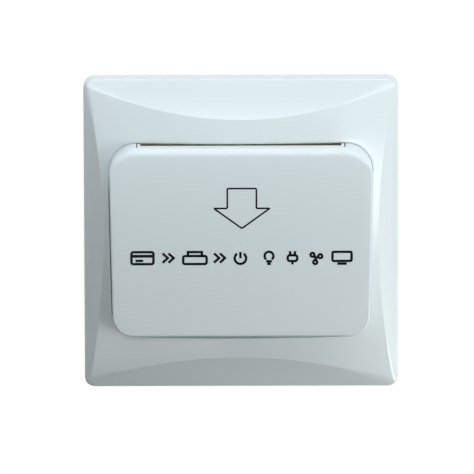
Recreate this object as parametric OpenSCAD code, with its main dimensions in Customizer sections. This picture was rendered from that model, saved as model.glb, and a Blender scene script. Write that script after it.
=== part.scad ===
// Hotel key card switch: a square wall plate whose proud front pocket takes a room card.
// The card presses a sprung lever, and the lever works a small switch on the circuit board behind.
// Every module is drawn in the plate's own frame: x to the right, y up, z out of the wall.
// stand() then turns it upright, with the front towards -y and the wall plane at y = 0.

/* [Front frame] */
// Side of the square frame
frame_w = 86; // [84:0.5:92]
// Radius of the frame's corners
frame_corner_r = 4; // [2.5:0.5:7]
// Height of the frame's outer edge above the wall
rim_h = 5; // [4.5:0.1:6]
// Radius of the rounded outer edge
rim_round = 0.9; // [0.4:0.1:1.5]
// Height of the crown's middle above the wall
crown_h = 15.2; // [14.4:0.1:16]
// Radius of the crowned front
dome_r = 190; // [170:5:240]
// Slope of the top and bottom sides, in degrees
slope_tb = 35.5; // [32:0.5:40]
// Slope of the left and right sides, in degrees
slope_lr = 50; // [46:0.5:54]
// Wall thickness of the frame
frame_t = 2; // [1.6:0.1:2.4]
// Thickness of the collar round the frame's opening
collar_t = 1.5; // [1:0.1:2]
// Width of the relief along the bottom of the frame's opening
relief_w = 62; // [50:1:64]
// Height of that relief below the opening
relief_h = 1.6; // [1:0.1:2]
// Depth of that relief below the crowned front
relief_d = 3.2; // [2:0.1:4]

/* [Card pocket] */
// Width of the pocket cover at its top edge
cover_top_w = 72.2; // [70:0.2:74]
// Width of the pocket cover at its bottom edge
cover_bottom_w = 70; // [69:0.2:73]
// Height of the pocket cover
cover_h = 52; // [50:0.5:54]
// Radius of the cover's corners
cover_corner_r = 5.6; // [4:0.2:7]
// Thickness of the cover's side walls
cover_wall = 2; // [1.6:0.1:2.4]
// Thickness of the cover's front wall
cover_front_t = 3.8; // [3.4:0.1:4.2]
// Radius of the cover's front edge along the card slot
cover_top_round = 2; // [1:0.1:2.4]
// Radius of the cover's other front edges
cover_edge_round = 0.9; // [0.4:0.1:1.4]
// Gap between the cover and the frame's opening
cover_gap = 0.25; // [0.15:0.05:0.7]
// Width of the slotted cut in the cover's top, for a card 54 mm wide
slot_w = 57; // [56.5:0.5:58]
// Thickness of the card slot
slot_t = 2.2; // [1.6:0.1:2.6]
// Height of the pocket's back face above the wall
pocket_h = 12.6; // [12.2:0.1:13]

/* [Card guide] */
// Wall thickness of the card guide
guide_t = 2; // [1.6:0.1:2.2]
// Thickness of the guide's lip in front of the card slot
lip_t = 1.6; // [1:0.1:1.8]
// Height of the guide's lip
lip_h = 4; // [3:0.5:5]
// Height of the guide's flange above the wall
flange_h = 5; // [4.6:0.1:5.4]
// Clearance between mouldings that slip together
slip = 0.3; // [0.15:0.05:0.4]
// Clearance between faces that seat on each other
seat = 0.05; // [0.02:0.01:0.1]

/* [Card lever] */
// Radius of the lever's pivot pin
pin_r = 1.25; // [1:0.05:1.4]
// Radius of the lever's hub
hub_r = 2.5; // [2.2:0.1:2.7]
// Height of the pivot above the middle of the plate
pivot_y = 4; // [3:0.5:5]
// Distance from the pivot down to the lever's nose
nose_arm = 12; // [11:0.5:13]
// How far the nose stands into the card slot
nose_reach = 2; // [1.4:0.1:2.1]
// Width of the lever's nose
nose_w = 7.2; // [5:0.2:9]
// Thickness of the lever's arm
arm_t = 2.2; // [1.8:0.1:2.4]
// Distance between the guide's two pivot ears
ear_gap = 15.2; // [14.8:0.1:16]
// Wire diameter of the lever's spring
wire_d = 0.6; // [0.5:0.05:0.7]
// Whole turns of the lever's spring
spring_turns = 3; // [2:1:3]

/* [Small switch] */
// Length of the switch case
case_l = 19.8; // [19:0.1:20.4]
// Width of the switch case
case_w = 6.4; // [6:0.1:7]
// Height of the switch case above the board
case_h = 10.2; // [9.8:0.1:10.6]
// Angle of the switch leaf at rest, in degrees
leaf_angle = 8.8; // [8:0.1:9.5]
// Thickness of the switch leaf
leaf_t = 0.4; // [0.3:0.05:0.5]

/* [Fixing plate] */
// Height of the fixing plate
yoke_h = 60; // [58:0.5:61]
// Thickness of the fixing plate
yoke_t = 2; // [1.6:0.1:2.4]
// Distance between the two wall screws
wall_screw_spacing = 60.3; // [60:0.1:61]
// Width of each wall-screw slot
wall_slot_w = 4.6; // [4.2:0.1:5]
// Length of each wall-screw slot
wall_slot_l = 8.6; // [7:0.2:9.4]
// Length of each snap post along the plate's side
snap_l = 10; // [7:0.5:12]
// How far the frame's snaps hook under the posts
snap_hook = 0.35; // [0.2:0.05:0.5]

/* [Rear housing] */
// Width of the rear housing
housing_w = 48; // [47:0.5:50]
// Height of the rear housing
housing_h = 60; // [58:0.5:62]
// Depth of the rear housing behind the wall plane
housing_d = 30; // [29:0.5:34]
// Depth of its lower part, where the terminals are
step_d = 22; // [21:0.5:24]
// Wall thickness of the housing
housing_t = 2; // [1.6:0.1:2.2]
// Depth of the circuit board's front face behind the wall plane
board_d = 5.8; // [5.6:0.1:6.2]
// Thickness of the circuit board
board_t = 1.6; // [1:0.2:2]

/* [Terminals] */
// Number of wire terminals
poles = 4; // [3:1:4]
// Distance between terminals
pole_pitch = 8.8; // [8.4:0.1:8.9]
// Height of the terminal block
block_h = 13.2; // [12.8:0.1:14]
// Width of the wire hole in a clamp
wire_w = 4.6; // [4.2:0.1:5]
// Depth of the wire hole in a clamp
wire_h = 4.8; // [4.4:0.1:5]

/* [Screws] */
// Shank radius of the self-tapping screws
screw_r = 1.1; // [0.9:0.05:1.2]
// Head radius of the self-tapping screws
screw_head_r = 2; // [1.8:0.1:2.2]
// Head height of the self-tapping screws
screw_head_h = 1.4; // [1.1:0.1:1.6]

/* [Hidden] */
$fn = 64;
over = 1;
touch = 0.02;
least_r = 0.5;

shell_white = [0.93, 0.96, 0.97];
inner_white = [0.9, 0.9, 0.87];
steel = [0.72, 0.73, 0.75];
brass = [0.8, 0.66, 0.32];
charcoal = [0.14, 0.14, 0.15];

// Heights above the wall plane, worked out from the driving sizes
flange_top = flange_h + guide_t;
cover_back = flange_top + seat;
slot_front = pocket_h + slot_t;
cover_front = slot_front + cover_front_t;
pad_back = pocket_h - guide_t;
cover_lean = atan((cover_top_w - cover_bottom_w) / 2 / cover_h);

// Frame opening, collar and the bosses behind the frame
boss_wall = 0.8;
boss_merge = 0.5;
boss_r = screw_head_r + boss_wall;
boss_x = 24;
boss_y = cover_h / 2 + cover_gap + collar_t + boss_r - boss_merge;
relief_floor = dome_z(0, cover_h / 2 + cover_gap + relief_h) - relief_d;
thread_bite = 0.2;
pilot_play = 0.05;
pilot_r = screw_r - thread_bite;
shank_r = pilot_r - pilot_play;
hole_play = 0.2;
screw_hole_r = screw_r + hole_play;
pilot_skin = 0.7;
pilot_room = 1;

// Card guide: the raised pad between the cover's ribs
pad_w = slot_w - 2 * slip;
pad_drop = 1.2;
pad_top = cover_h / 2 - pad_drop;
lip_end_t = 0.8;
lip_play = 0.2;
lip_front = slot_front + lip_t;
pad_bottom = -cover_h / 2 + cover_wall + slip;
rib_t = 1.8;
cover_boss_r = 2.1;
cover_boss_off = 1.9;
cover_screw_l = 5;
panel_screw_l = 2.4;
cover_screw_x = slot_w / 2 + rib_t + cover_boss_off;
cover_screw_y = 18;

// Lever, its ears and its spring
stop_gap = 0.1;
pivot_z = pad_back - hub_r - stop_gap;
lever_play = 0.05;
pin_fit = 0.02;
ear_t = 2;
ear_half = 3;
arm_front = pad_back - stop_gap;
arm_back = arm_front - arm_t;
arm_half_w = 5;
arm_past_nose = 3.5;
arm_end = nose_arm + arm_past_nose;
nose_len = 5;
window_play = 0.6;
hub_right = 2.7;
hub_merge = 1;
arm_clear = 1;
coil_clear = 0.6;
rib_arm = 10;
push_rib_w = 1.2;
push_gap = 0.11;
coil_play = 0.45;
coil_r = pin_r + coil_play + wire_d / 2;
coil_left = hub_right + slip + wire_d / 2;
coil_pitch = 1.15;
leg_tilt = 14;
leg_l = 7;
post_w = 2;

// Small switch on the board, in the plate's frame
case_bottom = -board_d;
case_top = case_bottom + case_h;
rib_past_case = 14.4;
case_y0 = pivot_y - rib_arm - rib_past_case;
leaf_inset = 0.9;
leaf_lift = 0.6;
leaf_y = case_y0 + leaf_inset;
leaf_z = case_top + leaf_lift;
leaf_l = 16.5;
leaf_w = 4;
knuckle_r = 0.55;
knuckle_play = 0.15;
leg_places = [1.6, 10.4, 17.7];
leg_w = 2.4;
leg_t = 0.5;
leg_in = board_t * 0.85;
leg_play = 0.1;
plunger_arm = 7.5;
plunger_y = leaf_y + plunger_arm;
plunger_w = 3;
plunger_l = 1.8;
plunger_h = 3.2;
plunger_play = 0.1;
plunger_room = 1.2;
leaf_front = leaf_z + (pivot_y - rib_arm - leaf_y) * tan(leaf_angle) + leaf_t / 2 / cos(leaf_angle);
leaf_back = leaf_z + (plunger_y - leaf_y) * tan(leaf_angle) - leaf_t / 2 / cos(leaf_angle);

// Fixing plate and its snaps
yoke_play = 1;
yoke_r = 3;
yoke_w = frame_w - 2 * frame_t - 2 * yoke_play;
frame_inner = frame_w / 2 - frame_t;
snap_y = cover_screw_y - screw_head_r - slip - snap_l / 2;
ledge_l = snap_l - 1;
ledge_lift = 0.6;
ledge_t = 1.3;
ledge_reach = 2.1;
ledge_z0 = yoke_t + ledge_lift;
ledge_z1 = ledge_z0 + ledge_t;
ledge_tip = frame_inner - ledge_reach;
snap_play = 0.15;
ridge_z = ledge_z1 + snap_play;
ridge_h = 0.9;
snap_gap = 0.35;
post_outer = ledge_tip - snap_gap;
post_t = 1.6;
window_h = 48;
window_rim = 1.4;

// Rear housing and the board in it
housing_r = 2.5;
housing_boss_r = 2.5;
housing_boss_l = 9;
housing_screw_inset = 3.6;
housing_screw_x = housing_w / 2 - housing_screw_inset;
housing_screw_y = housing_h / 2 - housing_screw_inset;
housing_pilot_l = 7;
window_w = 2 * (housing_screw_x - screw_head_r - window_rim - slip);
board_play = 0.2;
board_w = housing_w - 2 * housing_t - 2 * board_play;
board_h = housing_h - 2 * housing_t - 2 * board_play;
board_back = -board_d - board_t;
board_post_r = 3.2;
board_post_merge = 0.4;
board_post_x = housing_w / 2 - housing_t - board_post_r + board_post_merge;
board_post_y = 17;
board_pilot_l = 6;
ledge_rib = 1.6;
ledge_rib_l = 3;
ledge_rib_y = -8;

// Terminal block, flush with the housing's step and bottom
block_w = poles * pole_pitch;
block_bottom = -housing_h / 2;
block_top = block_bottom + block_h;
block_rear = -step_d;
block_play = 0.2;
clamp_rear_t = 1.8;
clamp_front_t = 1.4;
clamp_side_t = 0.6;
clamp_len = 6.2;
clamp_cover_t = 2.2;
clamp_inset = 2.8;
clamp_w = wire_w + 2 * clamp_side_t;
clamp_rear = block_rear + clamp_cover_t;
clamp_front = clamp_rear + clamp_rear_t + wire_h + clamp_front_t;
clamp_y0 = block_bottom + clamp_inset;
clamp_play = 0.2;
tail_w = 3;
tail_t = 1;
terminal_screw_r = 1.5;
terminal_head_r = 2.5;
terminal_head_h = 1.6;
housing_step_y = block_top + block_play + housing_t;

// Board parts, placed one after the other along the board's back
part_gap = 0.6;
relay_w = 16.5;
relay_l = 24;
relay_h = 18.5;
relay_x = -board_w / 2 + ledge_rib + part_gap;
relay_y = housing_step_y + housing_t + part_gap;
part_x = relay_x + relay_w + part_gap;
film_w = 18;
film_l = 8.5;
film_h = 14.5;
can_r = 5;
can_h = 13;
can_groove = 0.4;
resistor_r = 1.5;
resistor_waist_r = 1.25;
resistor_l = 6.4;
resistor_cap_l = 1.3;
resistor_pitch = 3.6;
resistor_y = relay_y;
bridge_w = 8.4;
bridge_l = 6.4;
bridge_h = 3.2;
bridge_y = resistor_y + 2 * (resistor_pitch + resistor_r) + part_gap;
chip_w = 9.4;
chip_l = 6.4;
chip_h = 3.3;
chip_x = board_w / 2 - chip_w - ledge_rib;
chip_leg = 0.9;
chip_legs = 4;
chip_leg_pitch = 2.2;
chip_leg_w = 0.5;
chip_leg_t = 0.3;
chip_y = block_top + part_gap + chip_leg;
fuse_r = 4.2;
fuse_h = 7.6;
fuse_x = board_w / 2 - ledge_rib - part_gap - fuse_r;
fuse_y = chip_y + chip_l + chip_leg + part_gap + fuse_r;
disc_r = 5.5;
disc_t = 4.4;
disc_x = fuse_x + fuse_r - disc_t;
disc_y = fuse_y + fuse_r + part_gap + disc_r;
disc_lift = 2;
lead_r = 0.4;

// Turns the plate's frame upright
module stand() {
    rotate([90, 0, 0]) children();
}

module mirror_x() {
    children();
    mirror([1, 0, 0]) children();
}

module four_corners(x, y) {
    for (sx = [-1, 1], sy = [-1, 1]) translate([sx * x, sy * y, 0]) children();
}

// Points of an arc, for the rounded stretch of a profile
function arc(c, r, from, to, steps = 6) =
    [for (i = [0:steps]) c + r * [cos(from + (to - from) * i / steps), sin(from + (to - from) * i / steps)]];

// Rounded panel outline, which may be wider at the top than at the bottom
module panel(top_w, bottom_w, h, r) {
    lean = atan((top_w - bottom_w) / 2 / h);
    mid = (top_w + bottom_w) / 4;
    upper = [mid + (h / 2 - r) * tan(lean) - r / cos(lean), h / 2 - r];
    lower = [mid - (h / 2 - r) * tan(lean) - r / cos(lean), r - h / 2];
    right = concat(arc(lower, r, -90, -lean, 8), arc(upper, r, -lean, 90, 8));
    left = [for (i = [len(right) - 1:-1:0]) [-right[i].x, right[i].y]];
    polygon(concat(right, left));
}

// The pocket cover's outline, grown by the same amount on every side
module cover_outline(grow = 0) {
    panel(cover_top_w + 2 * grow, cover_bottom_w + 2 * grow, cover_h + 2 * grow, cover_corner_r + grow);
}

// Half width of the cover at a height, less a wall
function cover_half(y, wall = 0) = (cover_top_w + cover_bottom_w) / 4 + y * tan(cover_lean) - wall;

// Roof-shaped prism along y: upright sides, a rounded edge and two slopes that meet over the middle
module roof(half, edge_h, slope, edge_r, base) {
    lift = edge_h + edge_r * (1 - sin(slope)) * tan(slope) - edge_r * cos(slope);
    bend = edge_r > 0 ? arc([half - edge_r, lift], edge_r, 0, 90 - slope, 4) : [[half, edge_h]];
    right = concat([[half, base]], bend);
    left = [for (i = [len(right) - 1:-1:0]) [-right[i].x, right[i].y]];
    rotate([90, 0, 0]) linear_extrude(2 * frame_w, center = true)
        polygon(concat(right, [[0, edge_h + half * tan(slope)]], left));
}

// The frame's crowned block, inset on every side for the hollow behind it
module frame_block(inset = 0, base = 0, edge_r = 0) {
    half = frame_w / 2 - inset;
    intersection() {
        translate([0, 0, base]) linear_extrude(crown_h + over - base)
            panel(2 * half, 2 * half, 2 * half, max(frame_corner_r - inset, least_r));
        roof(half, rim_h + inset * (tan(slope_lr) - 1 / cos(slope_lr)), slope_lr, edge_r, base - over);
        rotate([0, 0, 90])
            roof(half, rim_h + inset * (tan(slope_tb) - 1 / cos(slope_tb)), slope_tb, edge_r, base - over);
        translate([0, 0, crown_h - dome_r]) rotate([0, 90, 0]) sphere(dome_r - inset, $fn = 256);
    }
}

// Height of the crowned front above a point of the wall
function dome_z(x, y) = crown_h - dome_r + sqrt(dome_r * dome_r - x * x - y * y);

// Pan-head screw along z: its seat at z = 0, the shank upwards, a cross recess below
module screw(r, l, head_r, head_h) {
    recess_w = head_r * 0.28;
    recess_l = head_r * 1.3;
    recess_h = head_h * 0.55;
    difference() {
        union() {
            translate([0, 0, -head_h]) cylinder(r = head_r, h = head_h);
            translate([0, 0, -head_h / 2]) cylinder(r = r, h = head_h / 2 + l);
        }
        for (a = [0, 90]) rotate([0, 0, a])
            translate([-recess_l / 2, -recess_w / 2, -head_h - over])
                cube([recess_l, recess_w, recess_h + over]);
    }
}

// Places the self-tapping screws of the cover and of the frame on the guide's back
module guide_screw(l) {
    translate([0, 0, flange_h - seat / 2]) screw(shank_r, l, screw_head_r, screw_head_h);
}

// Outline of the relief under the cover's bottom edge, where a tool lifts the front off, grown by a wall
module relief_outline(grow = 0) {
    translate([0, -cover_h / 2 - cover_gap]) slot_outline(relief_w + 2 * grow, 2 * (relief_h + grow));
}

// The hollow behind the frame, less the collar, bosses and snap ledges that stand in it
module frame_hollow() {
    difference() {
        frame_block(frame_t, -over);
        translate([0, 0, cover_back]) linear_extrude(crown_h) cover_outline(cover_gap + collar_t);
        translate([0, 0, relief_floor - collar_t]) linear_extrude(crown_h) relief_outline(collar_t);
        four_corners(boss_x, boss_y) translate([0, 0, cover_back]) cylinder(r = boss_r, h = crown_h);
        for (s = [-1, 1]) mirror_x() translate([ledge_tip, s * snap_y - ledge_l / 2, ledge_z0])
            cube([frame_w, ledge_l, ledge_z1 - ledge_z0]);
    }
}

module front_frame() {
    pilot_top = dome_z(boss_x + pilot_r, boss_y + pilot_r) - pilot_skin;
    color(shell_white) stand() difference() {
        frame_block(0, 0, rim_round);
        frame_hollow();
        translate([0, 0, -over]) linear_extrude(crown_h + 2 * over) cover_outline(cover_gap);
        translate([0, 0, relief_floor]) linear_extrude(crown_h) relief_outline();
        four_corners(boss_x, boss_y) translate([0, 0, flange_h])
            cylinder(r = pilot_r, h = pilot_top - flange_h);
    }
}

// The cover's outer block: its outline, with rounded front edges
module cover_block() {
    half_h = cover_h / 2;
    upper = arc([half_h - cover_top_round, cover_front - cover_top_round], cover_top_round, 0, 90);
    lower = arc([-half_h + cover_edge_round, cover_front - cover_edge_round], cover_edge_round, 90, 180);
    half_w = cover_top_w / 2;
    intersection() {
        translate([0, 0, cover_back]) linear_extrude(cover_front - cover_back) cover_outline();
        rotate([90, 0, 90]) linear_extrude(2 * cover_top_w, center = true)
            polygon(concat([[half_h, 0]], upper, lower, [[-half_h, 0]]));
        mirror_x() side_rounding(half_w);
    }
}

// Half of the cover's width with the rounded front edge that follows its leaning side
module side_rounding(half_w) {
    edge = arc([half_w - cover_edge_round, cover_front - cover_edge_round], cover_edge_round, 0, 90);
    translate([half_w, cover_h / 2, 0]) rotate([0, 0, -cover_lean]) translate([-half_w, 0, 0])
        rotate([90, 0, 0]) linear_extrude(3 * cover_h, center = true)
            polygon(concat([[-over, 0], [half_w, 0]], edge, [[-over, cover_front]]));
}

module pocket_cover() {
    inner_h = cover_h - 2 * cover_wall;
    color(shell_white) stand() difference() {
        union() {
            difference() {
                cover_block();
                translate([0, 0, cover_back - over]) linear_extrude(slot_front - cover_back + over)
                    panel(2 * cover_half(inner_h / 2, cover_wall), 2 * cover_half(-inner_h / 2, cover_wall),
                        inner_h, cover_corner_r - cover_wall);
            }
            intersection() {
                union() {
                    mirror_x() translate([slot_w / 2, -cover_h / 2, cover_back])
                        cube([rib_t, cover_h, slot_front - cover_back + touch]);
                    four_corners(cover_screw_x, cover_screw_y) translate([0, 0, cover_back])
                        cylinder(r = cover_boss_r, h = slot_front - cover_back + touch);
                }
                translate([0, 0, cover_back]) linear_extrude(cover_front) cover_outline(-touch);
            }
        }
        translate([-slot_w / 2, cover_h / 2 - lip_h, cover_back - over])
            cube([slot_w, cover_h, lip_front + lip_play - cover_back + over]);
        four_corners(cover_screw_x, cover_screw_y) translate([0, 0, cover_back - over])
            cylinder(r = pilot_r, h = over + slot_front - cover_back - pilot_skin);
    }
}

// One pivot ear of the guide, from its pad back to just past the pin
module ear() {
    rotate([90, 0, 90]) linear_extrude(ear_t) translate([pivot_y, pivot_z])
        polygon(concat([[ear_half, pad_back + touch - pivot_z], [-ear_half, pad_back + touch - pivot_z]],
            arc([0, 0], ear_half, 180, 360, 12)));
}

module card_guide() {
    window_y0 = pivot_y - nose_arm - nose_len / 2 - window_play;
    lip_y = cover_h / 2 - lip_h + lip_play;
    leg_x = coil_left + spring_turns * coil_pitch;
    leg_top = pivot_z - coil_r + wire_d / 2 + stop_gap;
    color(inner_white) stand() difference() {
        union() {
            difference() {
                union() {
                    translate([0, 0, flange_h]) linear_extrude(guide_t) {
                        cover_outline(-touch);
                        four_corners(boss_x, boss_y) circle(boss_r);
                        for (s = [-1, 1]) translate([s * boss_x - boss_r, -boss_y])
                            square([2 * boss_r, 2 * boss_y]);
                    }
                    guide_pad();
                }
                translate([-pad_w / 2 + guide_t, pad_bottom + guide_t, flange_h - over])
                    cube([pad_w - 2 * guide_t, pad_top - pad_bottom - 2 * guide_t,
                        pad_back - flange_h + over]);
            }
            translate([-pad_w / 2, lip_y, slot_front]) cube([pad_w, cover_h / 2 - lip_y, lip_t]);
            mirror_x() translate([pad_w / 2 - lip_end_t, lip_y, pocket_h - guide_t / 2])
                cube([lip_end_t, cover_h / 2 - lip_y, lip_front - pocket_h + guide_t / 2]);
            mirror_x() translate([ear_gap / 2, 0, 0]) ear();
            translate([leg_x - post_w / 2, pivot_y + leg_l - post_w, leg_top])
                cube([post_w, post_w, pad_back + touch - leg_top]);
        }
        translate([-nose_w / 2 - window_play, window_y0, pad_back - over])
            cube([nose_w + 2 * window_play, nose_len + 2 * window_play, guide_t + 2 * over]);
        translate([-ear_gap, pivot_y, pivot_z]) rotate([0, 90, 0])
            cylinder(r = pin_r + pin_fit, h = 2 * ear_gap);
        four_corners(boss_x, boss_y) cylinder(r = screw_hole_r, h = pocket_h);
        four_corners(cover_screw_x, cover_screw_y) cylinder(r = screw_hole_r, h = flange_top + over);
    }
}

// The raised pad behind the card, with a slope at its top edge that leads the card in
module guide_pad() {
    lead = 1;
    rotate([90, 0, 90]) linear_extrude(pad_w, center = true) polygon([
        [pad_bottom, flange_h + touch], [pad_top, flange_h + touch], [pad_top, pocket_h - lead],
        [pad_top - 2 * lead, pocket_h], [pad_bottom, pocket_h]]);
}

// The lever's outline seen from the side: its arm, the nose that the card meets, and the push rib
module lever_profile() {
    nose_y = pivot_y - nose_arm;
    tip = pocket_h + nose_reach;
    tip_r = 1.2;
    translate([pivot_y - arm_end, arm_back]) square([arm_end, arm_t]);
    polygon(concat([[nose_y - nose_len / 2, arm_front - touch], [nose_y + nose_len / 2, arm_front - touch]],
        arc([nose_y, tip - tip_r], tip_r, 30, 150)));
    rib_y = pivot_y - rib_arm;
    polygon(concat([[rib_y + push_rib_w / 2, arm_back + touch], [rib_y - push_rib_w / 2, arm_back + touch]],
        arc([rib_y, leaf_front + push_gap + push_rib_w / 2], push_rib_w / 2, 180, 360)));
}

module card_lever() {
    hub_left = -ear_gap / 2 + slip;
    color(inner_white) stand() difference() {
        union() {
            translate([-nose_w / 2, 0, 0]) rotate([90, 0, 90]) linear_extrude(nose_w) intersection() {
                lever_profile();
                translate([-frame_w, 0]) square([frame_w + pivot_y - hub_merge, frame_w]);
            }
            translate([-arm_half_w, pivot_y - arm_end, arm_back])
                cube([2 * arm_half_w, arm_end - hub_r - arm_clear, arm_t]);
            translate([hub_left, pivot_y, pivot_z]) rotate([0, 90, 0])
                cylinder(r = hub_r, h = hub_right - hub_left);
        }
        translate([-ear_gap, pivot_y, pivot_z]) rotate([0, 90, 0])
            cylinder(r = pin_r + lever_play, h = 2 * ear_gap);
        translate([hub_right, pivot_y - hub_r - coil_clear, 0]) cube([arm_half_w, 2 * hub_r, crown_h]);
    }
}

module lever_pin() {
    color(steel) stand() translate([-ear_gap / 2 - ear_t, pivot_y, pivot_z]) rotate([0, 90, 0])
        cylinder(r = pin_r, h = ear_gap + 2 * ear_t);
}

// Route of the spring's wire: one leg up the guide, whole turns round the pin, one leg under the arm
spring_steps = 8;
spring_sweep = 360 * spring_turns + leg_tilt;
spring_coil = [for (i = [0:ceil(spring_sweep / 360 * spring_steps)])
    let (t = spring_sweep * i / ceil(spring_sweep / 360 * spring_steps))
    [coil_left + coil_pitch * spring_turns * (1 - i / ceil(spring_sweep / 360 * spring_steps)),
        pivot_y - coil_r * sin(t), pivot_z - coil_r * cos(t)]];
spring_last = spring_coil[len(spring_coil) - 1];
spring_route = concat([spring_coil[0] + [0, leg_l, 0]], spring_coil,
    [spring_last + leg_l * [0, -cos(leg_tilt), sin(leg_tilt)]]);

function unit(v) = v / norm(v);
function route_dir(p, i) = unit(p[min(i + 1, len(p) - 1)] - p[max(i - 1, 0)]);

// Closed tube round a route that runs mostly across x
module tube(p, r, sides = 6) {
    n = len(p);
    points = [for (i = [0:n - 1], k = [0:sides - 1])
        let (t = route_dir(p, i), u = unit([1, 0, 0] - t.x * t), v = cross(t, u))
        p[i] + r * (cos(360 * k / sides) * u + sin(360 * k / sides) * v)];
    walls = [for (i = [0:n - 2], k = [0:sides - 1])
        let (a = i * sides + k, b = i * sides + (k + 1) % sides, c = b + sides, d = a + sides)
        each [[a, c, b], [a, d, c]]];
    last = (n - 1) * sides;
    caps = [for (k = [1:sides - 2]) each [[0, k, k + 1], [last, last + k + 1, last + k]]];
    polyhedron(points, concat(walls, caps));
}

// Least gap between neighbouring turns of the spring, measured on the route's points
spring_gap = min([for (i = [0:len(spring_route) - 1], k = [0:len(spring_route) - 1])
    if (k > i + spring_steps / 2) norm(spring_route[i] - spring_route[k])]) - wire_d;
echo(spring_gap = spring_gap);

module lever_spring() {
    color(steel) stand() tube(spring_route, wire_d / 2);
}

module cover_screws() {
    color(steel) stand() four_corners(cover_screw_x, cover_screw_y) guide_screw(guide_t + cover_screw_l);
}

module panel_screws() {
    color(steel) stand() four_corners(boss_x, boss_y) guide_screw(guide_t + panel_screw_l);
}

// Rounded slot outline along x
module slot_outline(l, w) {
    square([l - w, w], center = true);
    for (s = [-1, 1]) translate([s * (l - w) / 2, 0]) circle(w / 2);
}

// One snap post, with its ridge outwards, drawn at the plate's right side
module snap_post() {
    rotate([90, 0, 0]) linear_extrude(snap_l, center = true) polygon([
        [post_outer - post_t, yoke_t - touch], [post_outer, yoke_t - touch], [post_outer, ridge_z],
        [ledge_tip + snap_hook, ridge_z], [post_outer, ridge_z + ridge_h],
        [post_outer - post_t, ridge_z + ridge_h]]);
}

module mounting_yoke() {
    color(inner_white) stand() difference() {
        union() {
            linear_extrude(yoke_t) panel(yoke_w, yoke_w, yoke_h, yoke_r);
            translate([0, 0, yoke_t - touch]) linear_extrude(window_rim)
                square([window_w + 2 * window_rim, window_h + 2 * window_rim], center = true);
            for (s = [-1, 1]) mirror_x() translate([0, s * snap_y, 0]) snap_post();
        }
        translate([0, 0, -over]) linear_extrude(yoke_t + window_rim + 2 * over)
            square([window_w, window_h], center = true);
        for (s = [-1, 1]) translate([s * wall_screw_spacing / 2, 0, -over])
            linear_extrude(yoke_t + 2 * over) slot_outline(wall_slot_l, wall_slot_w);
        four_corners(housing_screw_x, housing_screw_y) translate([0, 0, -over])
            cylinder(r = screw_hole_r, h = yoke_t + 2 * over);
    }
}

// The housing's stepped body, inset for its hollow
module housing_body(inset) {
    rear = -housing_d + inset;
    difference() {
        translate([0, 0, rear]) linear_extrude(inset > 0 ? housing_d : -seat - rear)
            panel(housing_w - 2 * inset, housing_w - 2 * inset, housing_h - 2 * inset,
                max(housing_r - inset, least_r));
        translate([-housing_w, -housing_h, rear - over])
            cube([2 * housing_w, housing_h + housing_step_y + inset, housing_d - step_d + over]);
    }
}

module rear_housing() {
    color(inner_white) stand() difference() {
        union() {
            difference() {
                housing_body(0);
                housing_body(housing_t);
            }
            intersection() {
                housing_body(touch);
                union() {
                    four_corners(housing_screw_x, housing_screw_y) translate([0, 0, -housing_boss_l])
                        cylinder(r = housing_boss_r, h = housing_boss_l - seat);
                    mirror_x() translate([board_post_x, board_post_y, -housing_d])
                        cylinder(r = board_post_r, h = housing_d + board_back - seat);
                    mirror_x() translate([housing_w / 2 - housing_t - ledge_rib, ledge_rib_y, -housing_d])
                        cube([2 * ledge_rib, ledge_rib_l, housing_d + board_back - seat]);
                }
            }
        }
        translate([-block_w / 2 - block_play, block_bottom - over, block_rear - over])
            cube([block_w + 2 * block_play, block_h + over + block_play,
                board_back + block_play - block_rear + over]);
        four_corners(housing_screw_x, housing_screw_y) translate([0, 0, -housing_pilot_l])
            cylinder(r = pilot_r, h = housing_pilot_l);
        mirror_x() translate([board_post_x, board_post_y, board_back - board_pilot_l])
            cylinder(r = pilot_r, h = board_pilot_l);
    }
}

module housing_screws() {
    color(steel) stand() four_corners(housing_screw_x, housing_screw_y)
        translate([0, 0, yoke_t + seat / 2]) mirror([0, 0, 1])
            screw(shank_r, yoke_t + housing_pilot_l - pilot_room, screw_head_r, screw_head_h);
}

// Legs of the small switch, grown by a clearance for the slots they stand in
module switch_legs(grow = 0) {
    for (y = leg_places)
        translate([-leg_w / 2 - grow, case_y0 + y - leg_t / 2 - grow, case_bottom - leg_in])
            cube([leg_w + 2 * grow, leg_t + 2 * grow, leg_in + touch]);
}

module circuit_board() {
    notch_x = housing_screw_x - housing_boss_r - part_gap;
    notch_y = housing_screw_y - housing_boss_r - part_gap;
    color([0.13, 0.4, 0.22]) stand() difference() {
        translate([-board_w / 2, -board_h / 2, board_back]) cube([board_w, board_h, board_t]);
        translate([0, 0, -touch]) switch_legs(leg_play);
        for (s = [0, 1]) mirror([0, s, 0]) mirror_x() translate([notch_x, notch_y, -housing_d])
            cube([housing_w, housing_h, housing_d]);
        mirror_x() translate([board_post_x, board_post_y, -housing_d])
            cylinder(r = screw_hole_r, h = housing_d);
    }
}

module board_screws() {
    color(steel) stand() mirror_x() translate([board_post_x, board_post_y, -board_d + seat / 2])
        mirror([0, 0, 1]) screw(shank_r, board_t + board_pilot_l - pilot_room, screw_head_r, screw_head_h);
}

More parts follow.
